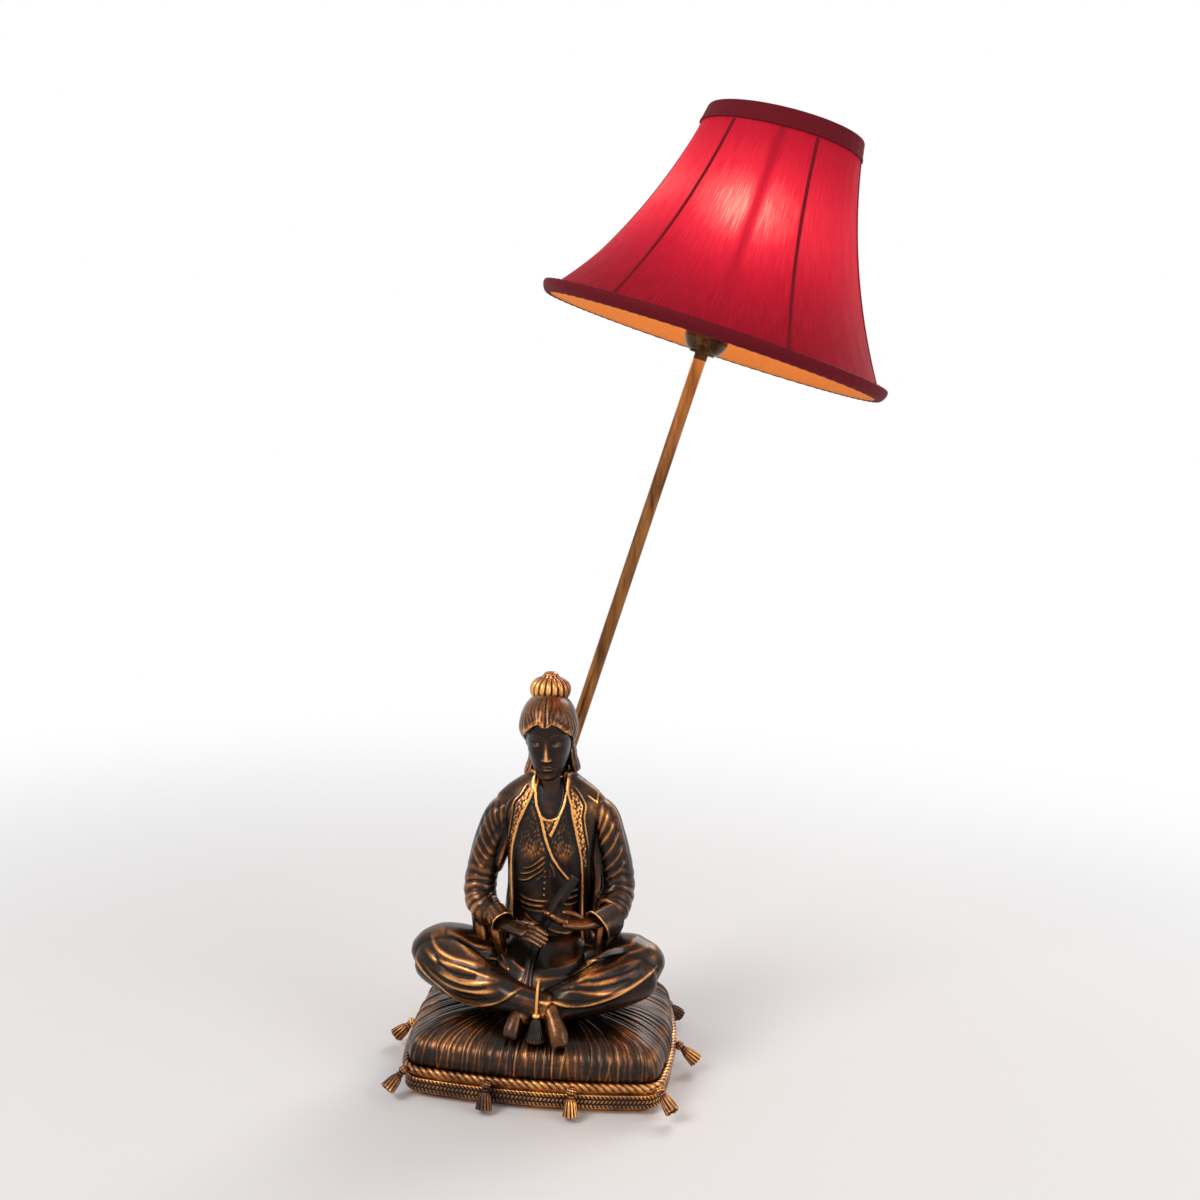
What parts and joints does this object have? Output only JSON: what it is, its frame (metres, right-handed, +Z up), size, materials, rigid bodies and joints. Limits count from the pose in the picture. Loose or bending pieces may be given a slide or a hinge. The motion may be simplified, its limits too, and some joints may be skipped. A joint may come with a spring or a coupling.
{
  "type": "figural table lamp",
  "caption": "Table lamp: seated figure on a tasselled pleated pillow, with a leaning tube stem, harp lampholder and six-panel bell shade.",
  "frame": {"origin": "centre of the flat underside, on the table", "axes": "+Z up, figure faces -Y, stem leans to +X"},
  "size_m": [0.4017, 0.3247, 0.817],
  "materials": {
    "pillow_bronze": "cold-cast resin, antique bronze with gold rubbed on the pleat ridges",
    "rope_gilt": "cold-cast resin rope, gilt highlights",
    "tassel_gilt": "cold-cast resin tassel, gilt highlights",
    "robe_bronze": "cold-cast resin, near-black brown with gold rubbed folds",
    "trouser_bronze": "cold-cast resin, near-black brown with gold rubbed folds",
    "skin_bronze": "cold-cast resin, smooth dark bronze",
    "hair_gilt": "cold-cast resin, gold rubbed hair",
    "sash_dark": "cold-cast resin, dark brown sash",
    "cord_gilt": "cold-cast resin cord and bell tassel",
    "steel_plate": "black sheet steel",
    "zinc_screws": "zinc plated",
    "green_felt": "dark green felt",
    "black_nylon": "black nylon",
    "antique_brass": "streaky antique brass",
    "dark_brass": "dark antique brass",
    "zinc_pipe": "yellow zinc plate",
    "lead_pvc": "brown PVC flex",
    "splice_plastic": "moulded twist-on connectors",
    "brass_shell": "bright brass",
    "fibre_sleeve": "pressed fibre paper",
    "phenolic": "phenolic moulding",
    "screw_aluminium": "thin rolled shell",
    "contact_brass": "plain",
    "black_key": "black moulded key",
    "cap_aluminium": "rolled screw cap",
    "opal_glass": "soft white lamp glass, lit",
    "harp_brass": "plated wire",
    "red_silk": "slubbed silk, lit from inside",
    "cream_lining": "smooth lining cloth",
    "frame_wire": "white coated wire",
    "burgundy_trim": "dark burgundy rolled cloth",
    "seam_braid": "narrow dark red braid",
    "finial_brass": "turned, plain"
  },
  "bodies": {
    "lamp_base": {"base_plate": "steel_plate", "base_plate_screws": "zinc_screws", "bell_tassel": "cord_gilt", "braid_band": "pillow_bronze", "centre_contact": "contact_brass", "cord_bushing": "black_nylon", "cushion_casting": "pillow_bronze", "felt_pad": "green_felt", "figure_hair": "hair_gilt", "figure_head": "skin_bronze", "figure_robe": "robe_bronze", "figure_topknot": "hair_gilt", "figure_trousers": "trouser_bronze", "foot_left": "skin_bronze", "foot_right": "skin_bronze", "hand_left": "skin_bronze", "hand_right": "skin_bronze", "harp_bow": "harp_brass", "harp_saddle": "harp_brass", "inner_lead": "lead_pvc", "insulating_sleeve": "fibre_sleeve", "lead_splices": "splice_plastic", "neck_collar": "dark_brass", "rope_trim": "rope_gilt", "sash_ribbon": "sash_dark", "screw_shell": "screw_aluminium", "socket_body": "phenolic", "socket_cap": "dark_brass", "socket_shell": "brass_shell", "stem_flange": "antique_brass", "stem_lock_nut": "zinc_pipe", "stem_tube": "antique_brass", "stem_washer": "zinc_pipe", "tassel_back_left": "tassel_gilt", "tassel_back_right": "tassel_gilt", "tassel_corner_back_left": "tassel_gilt", "tassel_corner_back_right": "tassel_gilt", "tassel_corner_front_left": "tassel_gilt", "tassel_corner_front_right": "tassel_gilt", "tassel_front_left": "tassel_gilt", "tassel_front_right": "tassel_gilt", "tassel_side_left": "tassel_gilt", "tassel_side_right": "tassel_gilt", "threaded_pipe": "zinc_pipe"},
    "key_body": {"switch_key": "black_key"},
    "bulb_travel_body": {"bulb_contact": "contact_brass"},
    "bulb_body": {"bulb_cap": "cap_aluminium", "bulb_glass": "opal_glass"},
    "ferrule_front_body": {"harp_ferrule_front": "harp_brass"},
    "ferrule_back_body": {"harp_ferrule_back": "harp_brass"},
    "shade_body": {"shade_silk": "red_silk", "shade_lining": "cream_lining", "shade_lower_ring": "frame_wire", "shade_upper_ring": "frame_wire", "shade_ribs": "frame_wire", "shade_spider": "frame_wire", "hem_trim": "burgundy_trim", "top_band": "burgundy_trim", "rib_seams": "seam_braid"},
    "finial_body": {"finial": "finial_brass"}
  },
  "joints": [
    {"name": "key_turn", "type": "hinge", "parent": "lamp_base", "child": "key_body", "pos_m": [0.12015, 0.058, 0.63167], "axis": [0.9613, 0, -0.2756], "continuous": true},
    {"name": "bulb_travel", "type": "slide", "parent": "lamp_base", "child": "bulb_travel_body", "axis": [0.2756, 0, 0.9613], "range_m": [0, 0.01267]},
    {"name": "bulb_turn", "type": "hinge", "parent": "bulb_travel_body", "child": "bulb_body", "pos_m": [0.12348, 0.058, 0.67232], "axis": [0.2756, 0, 0.9613], "range_deg": [0, 1260]},
    {"name": "ferrule_front_lift", "type": "slide", "parent": "lamp_base", "child": "ferrule_front_body", "axis": [0.2756, 0, 0.9613], "range_m": [0, 0.01]},
    {"name": "ferrule_back_lift", "type": "slide", "parent": "lamp_base", "child": "ferrule_back_body", "axis": [0.2756, 0, 0.9613], "range_m": [0, 0.01]},
    {"name": "shade_turn", "type": "hinge", "parent": "lamp_base", "child": "shade_body", "pos_m": [0.1617, 0.058, 0.78204], "axis": [0.2756, 0, 0.9613], "continuous": true},
    {"name": "finial_turn", "type": "hinge", "parent": "lamp_base", "child": "finial_body", "pos_m": [0.16336, 0.058, 0.78781], "axis": [0.2756, 0, 0.9613], "continuous": true}
  ],
  "couplings": [
    {"joint": "bulb_travel", "follows": "bulb_turn", "m_per_rad": 0.00057614}
  ]
}
